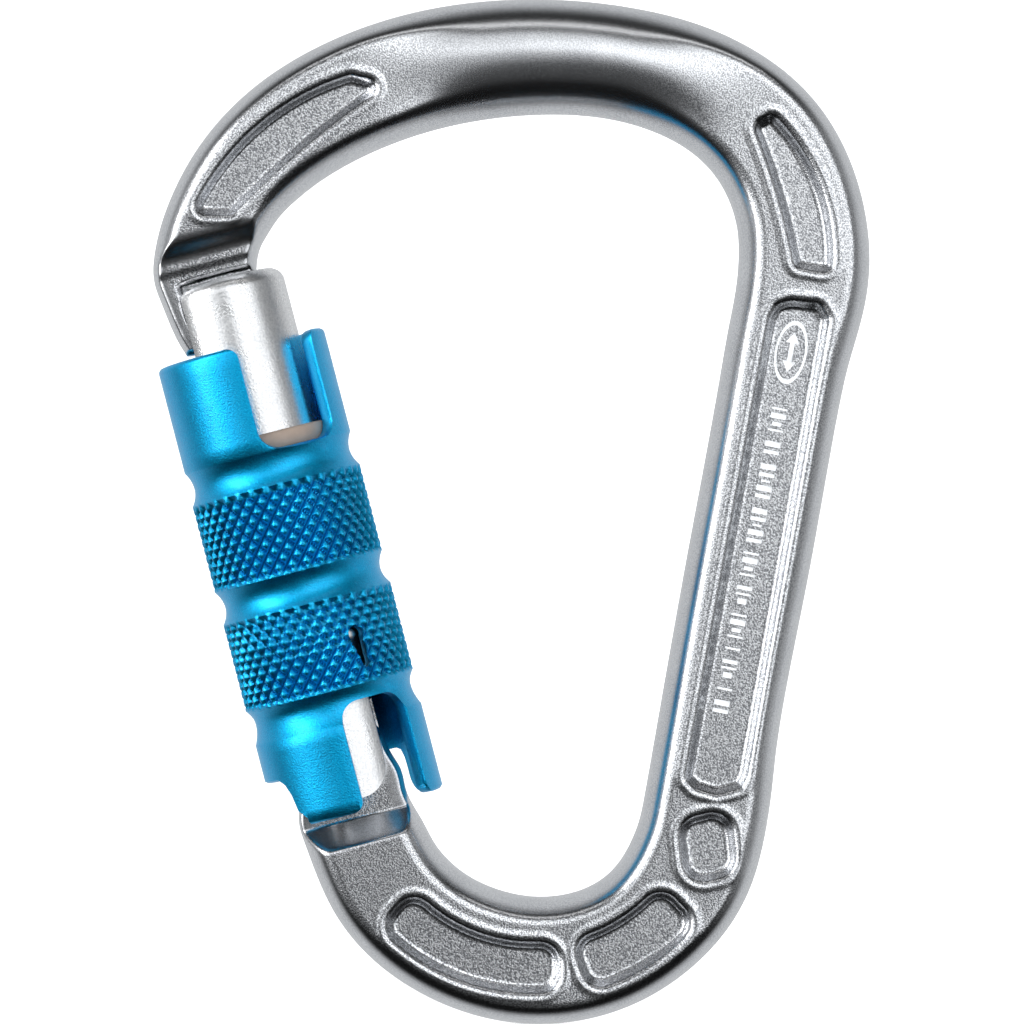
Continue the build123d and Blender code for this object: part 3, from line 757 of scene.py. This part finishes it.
def blend_colour(tree, factor, first, second):
    """Blend two colours; each is a plain colour or another node's output."""
    node = tree.nodes.new("ShaderNodeMix")
    node.data_type = "RGBA"
    tree.links.new(factor, node.inputs[0])
    for socket, colour in ((node.inputs[6], first), (node.inputs[7], second)):
        if isinstance(colour, tuple):
            socket.default_value = (*colour, 1)
        else:
            tree.links.new(colour, socket)
    return node.outputs[2]


def vertex_value(tree, name):
    """The named vertex attribute."""
    node = tree.nodes.new("ShaderNodeAttribute")
    node.attribute_name = name
    return node.outputs["Fac"]


def add_bump(tree, shader, height, strength, distance):
    """Fine relief; the strength is a number or another node's output."""
    bump = tree.nodes.new("ShaderNodeBump")
    bump.inputs["Distance"].default_value = distance
    if isinstance(strength, float):
        bump.inputs["Strength"].default_value = strength
    else:
        tree.links.new(strength, bump.inputs["Strength"])
    tree.links.new(height, bump.inputs["Height"])
    tree.links.new(bump.outputs["Normal"], shader.inputs["Normal"])


def forged_aluminium():
    """Tumbled forging: smooth on the rounded sides, fine bright and dark grain on lands and floors."""
    made, tree, shader = new_material("forged_aluminium", Metallic=1.0)
    land = vertex_value(tree, "land")
    grain = link_noise(tree, FORGING_GRAIN, 3)
    speckled = spread(tree, grain, 0, 1, 0.41, 0.58)
    speckle = blend_colour(tree, speckled, (0.30, 0.31, 0.33), (0.97, 0.98, 1.0))
    cloud = spread(tree, link_noise(tree, FORGING_CLOUD, 3), 0, 1)
    smooth = blend_colour(tree, cloud, (0.64, 0.65, 0.67), (0.72, 0.73, 0.75))
    colour = blend_colour(tree, spread(tree, land, 0.22, 0.85, 0, 1), smooth, speckle)
    tree.links.new(colour, shader.inputs["Base Color"])
    tree.links.new(spread(tree, land, 0.23, 0.19, 0, 1), shader.inputs["Roughness"])
    add_bump(tree, shader, grain, spread(tree, land, 0.1, 0.5, 0, 1), FORGING_RELIEF)
    return made


def satin_aluminium():
    """Bright gate: drawn bar, tumbled to a fine even grain."""
    made, tree, shader = new_material("gate_aluminium", Metallic=1.0)
    grain = link_noise(tree, GATE_GRAIN, 3)
    tint = blend_colour(tree, spread(tree, grain, 0, 1), (0.76, 0.77, 0.78), (1.0, 1.0, 1.0))
    tree.links.new(tint, shader.inputs["Base Color"])
    tree.links.new(spread(tree, link_noise(tree, GATE_CLOUD, 3), 0.24, 0.32), shader.inputs["Roughness"])
    add_bump(tree, shader, grain, 0.5, GATE_RELIEF)
    return made


def blue_anodised():
    """Dyed anodising over a fine blasted surface; painted shade darkens the knurling's grooves."""
    made, tree, shader = new_material("blue_anodised", Metallic=1.0, Coat_Weight=0.3, Coat_Roughness=0.22)
    grain = link_noise(tree, SLEEVE_GRAIN, 3)
    tint = blend_colour(tree, spread(tree, grain, 0, 1), (0.0, 0.42, 0.84), (0.01, 0.58, 1.0))
    # painted shade: the colour darkens towards deep blue down in the knurling's grooves, where shade falls
    groove_shade = spread(tree, vertex_value(tree, "groove_shade"), 0, 0.85, 0.25, 1)
    tree.links.new(blend_colour(tree, groove_shade, tint, (0.0, 0.16, 0.36)), shader.inputs["Base Color"])
    tree.links.new(spread(tree, link_noise(tree, SLEEVE_CLOUD, 3), 0.34, 0.41), shader.inputs["Roughness"])
    add_bump(tree, shader, grain, 0.6, SLEEVE_RELIEF)
    return made


def ring_plastic():
    """Taupe plastic, matt, with a faint moulded mottle."""
    made, tree, shader = new_material("ring_plastic", Roughness=0.55)
    cloud = link_noise(tree, RING_CLOUD, 4)
    tint = blend_colour(tree, spread(tree, cloud, 0, 1), (0.48, 0.365, 0.295), (0.58, 0.455, 0.37))
    tree.links.new(tint, shader.inputs["Base Color"])
    add_bump(tree, shader, link_noise(tree, RING_GRAIN, 2), 0.2, RING_RELIEF)
    return made


def steel(name, low, high, roughness, stretch):
    """Ground or drawn steel, with lines that follow the working direction."""
    made, tree, shader = new_material(name, Metallic=1.0)
    lines = link_noise(tree, STEEL_LINES, 3, stretch)
    tint = blend_colour(tree, spread(tree, lines, 0, 1), (low,) * 3, (high,) * 3)
    tree.links.new(tint, shader.inputs["Base Color"])
    tree.links.new(spread(tree, lines, roughness, roughness + 0.1), shader.inputs["Roughness"])
    add_bump(tree, shader, lines, 0.1, STEEL_RELIEF)
    return made


def etched_white_glow():
    """Frosted laser mark with a slightly broken surface and a painted glow of its own."""
    made, tree, shader = new_material("etched_white_glow", Roughness=0.6)
    speckle = link_noise(tree, MARK_GRAIN, 3)
    tint = blend_colour(tree, spread(tree, speckle, 0, 1), (0.84, 0.86, 0.88), (0.96, 0.97, 0.98))
    tree.links.new(tint, shader.inputs["Base Color"])
    # painted light: the mark glows faintly, as if lit, though it is no lamp
    shader.inputs["Emission Color"].default_value = (0.9, 0.95, 1, 1)
    shader.inputs["Emission Strength"].default_value = 0.35
    add_bump(tree, shader, speckle, 0.1, MARK_RELIEF)
    return made


# ---- studio, in metres ---------------------------------------------------------------------
FLOOR_Z, FLOOR_FRONT, FLOOR_HALF_WIDTH = -0.1003, -1.6, 2.2
BACKDROP_Y, BACKDROP_BEND, BACKDROP_TOP = 0.75, 0.35, 1.9
LIGHT_TARGET = Vector((-0.003, 0, -0.044))
CAMERA_DISTANCE, FIELD = 0.6, 0.11264           # the field is the width seen at the object
CAMERA_X, CAMERA_Z = -0.00319, -0.04367
SENSOR = 36                                     # in millimetres, as the lens


def plain_surface(name, colour):
    """Matt white with a slight glow of its own, so that it reads as an evenly lit background."""
    made, tree, shader = new_material(name, Roughness=0.9)
    tint = blend_colour(tree, link_noise(tree, 4, 2), colour, tuple(c * 0.985 for c in colour))
    tree.links.new(tint, shader.inputs["Base Color"])
    shader.inputs["Emission Color"].default_value = (1, 1, 1, 1)
    shader.inputs["Emission Strength"].default_value = 0.6
    return made


def build_stage():
    """Pale floor that curves up into a pale backdrop."""
    bend_y = BACKDROP_Y - BACKDROP_BEND
    path = [(FLOOR_FRONT, FLOOR_Z), (bend_y, FLOOR_Z)]
    path += [(bend_y + BACKDROP_BEND * sin(a), FLOOR_Z + BACKDROP_BEND * (1 - cos(a)))
             for a in np.linspace(0, pi / 2, 24)]
    path += [(BACKDROP_Y, BACKDROP_TOP)]
    vertices = [(side, y, z) for y, z in path for side in (-FLOOR_HALF_WIDTH, FLOOR_HALF_WIDTH)]
    faces = [(2 * i, 2 * i + 1, 2 * i + 3, 2 * i + 2) for i in range(len(path) - 1)]
    mesh = bpy.data.meshes.new("floor")
    mesh.from_pydata(vertices, [], faces)
    mesh.shade_smooth()
    floor = bpy.data.objects.new("floor", mesh)
    bpy.context.scene.collection.objects.link(floor)
    floor.data.materials.append(plain_surface("floor_white", (0.93, 0.93, 0.93)))
    floor.visible_glossy = False


def direction(azimuth, elevation):
    """Unit vector away from the object; azimuth 0 is in front and grows to the right."""
    a, e = radians(azimuth), radians(elevation)
    return Vector((sin(a) * cos(e), -cos(a) * cos(e), sin(e)))


def softbox(name, azimuth, elevation, distance, size, radiance):
    """A rectangular light that faces the object."""
    offset = direction(azimuth, elevation) * distance
    data = bpy.data.lights.new(name, "AREA")
    data.shape = "RECTANGLE"
    data.size, data.size_y = size
    data.energy = radiance * pi * size[0] * size[1]
    light = bpy.data.objects.new(name, data)
    light.location = LIGHT_TARGET + offset
    light.rotation_euler = (-offset).to_track_quat("-Z", "Y").to_euler()
    bpy.context.scene.collection.objects.link(light)


def glow(tree, place, azimuth, elevation, full, reach, strength):
    """Soft patch of room light round a direction: full inside one angle, nothing beyond the other."""
    dot = tree.nodes.new("ShaderNodeVectorMath")
    dot.operation = "DOT_PRODUCT"
    dot.inputs[1].default_value = direction(azimuth, elevation)
    tree.links.new(place, dot.inputs[0])
    patch = tree.nodes.new("ShaderNodeMapRange")
    patch.interpolation_type = "SMOOTHSTEP"
    patch.inputs["From Min"].default_value = cos(radians(reach))
    patch.inputs["From Max"].default_value = cos(radians(full))
    patch.inputs["To Max"].default_value = strength
    tree.links.new(dot.outputs["Value"], patch.inputs["Value"])
    return patch.outputs["Result"]


# patches of room light: azimuth, elevation, angle of full light, angle of none, and strength
ROOM = [(180, 0, 50, 95, 0.68), (0, 28, 8, 24, 1.0), (28, 10, 20, 33, 1.25), (75, 5, 18, 45, 0.28),
        (-62, 10, 24, 44, 0.5), (-33, 10, 10, 26, 1.0), (0, -22, 4, 34, 0.07)]
ROOM_BASE = 0.007


def build_world():
    """Dark room with the patches of light in ROOM, added up."""
    world = bpy.data.worlds.new("room")
    bpy.context.scene.world = world
    world.use_nodes = True
    tree = world.node_tree
    place = tree.nodes.new("ShaderNodeTexCoord")
    total = None
    for patch in ROOM:
        light = glow(tree, place.outputs["Generated"], *patch)
        add = tree.nodes.new("ShaderNodeMath")
        add.inputs[1].default_value = ROOM_BASE
        tree.links.new(light, add.inputs[0])
        if total is not None:
            tree.links.new(total, add.inputs[1])
        total = add.outputs["Value"]
    background = tree.nodes["Background"]
    background.inputs["Color"].default_value = (0.96, 0.98, 1.0, 1)
    tree.links.new(total, background.inputs["Strength"])


def build_camera():
    """Long lens, square on to the carabiner's face."""
    data = bpy.data.cameras.new("camera")
    data.sensor_width = SENSOR
    data.lens = SENSOR * CAMERA_DISTANCE / FIELD
    data.clip_end = 20
    camera = bpy.data.objects.new("camera", data)
    camera.location = (CAMERA_X, -CAMERA_DISTANCE, CAMERA_Z)
    camera.rotation_euler = (pi / 2, 0, 0)
    bpy.context.scene.collection.objects.link(camera)
    bpy.context.scene.camera = camera


def build_lights():
    """The room's light and two softboxes, on the left and above."""
    build_world()
    softbox("key", -60, 12, 1.0, (0.40, 0.90), 4.0)
    softbox("top", 0, 64, 1.0, (1.20, 0.16), 1.3)


def fit(piece, body, slot_name, material, *nodes):
    """Place a piece on its body with its finish, standing for its CAD nodes."""
    piece.data.materials.clear()
    piece.data.materials.append(material)
    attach(piece, body)
    if nodes:
        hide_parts(*nodes)


def build_object():
    """All the pieces, each on its body. The CAD's sleeve spring is kept and only takes its finish."""
    pin_steel = steel("pin_steel", 0.50, 0.60, 0.24, (1, 0.2, 1))
    spring_steel = steel("spring_steel", 0.42, 0.54, 0.28, (1, 1, 0.4))
    fit(build_frame_mesh(), "body", "forged_aluminium", forged_aluminium(), "frame")
    fit(etched_marks(), "body", "forged_aluminium", etched_white_glow())
    fit(build_gate_mesh(), "gate_arm", "gate_aluminium", satin_aluminium(), "gate")
    fit(build_rivet(), "gate_arm", "pin_steel", pin_steel, "hinge_rivet")
    fit(build_ring(), "gate_arm", "ring_plastic", ring_plastic(), "guide_ring")
    fit(build_guide_pin(), "gate_arm", "pin_steel", pin_steel, "guide_pin")
    fit(build_plunger(), "plunger", "pin_steel", pin_steel, "gate_plunger")
    fit(build_sleeve_mesh(), "sleeve", "blue_anodised", blue_anodised(), "lock_sleeve")
    coil = build_gate_coil()
    fit(coil, "gate_arm", "spring_steel", spring_steel, "gate_spring")
    squeeze(coil)
    sleeve_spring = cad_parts["sleeve_spring"].data
    sleeve_spring.materials.clear()
    sleeve_spring.materials.append(spring_steel)


build_object()
build_stage()
build_lights()
build_camera()
bpy.context.scene.view_settings.view_transform = "Standard"
bpy.context.view_layer.update()
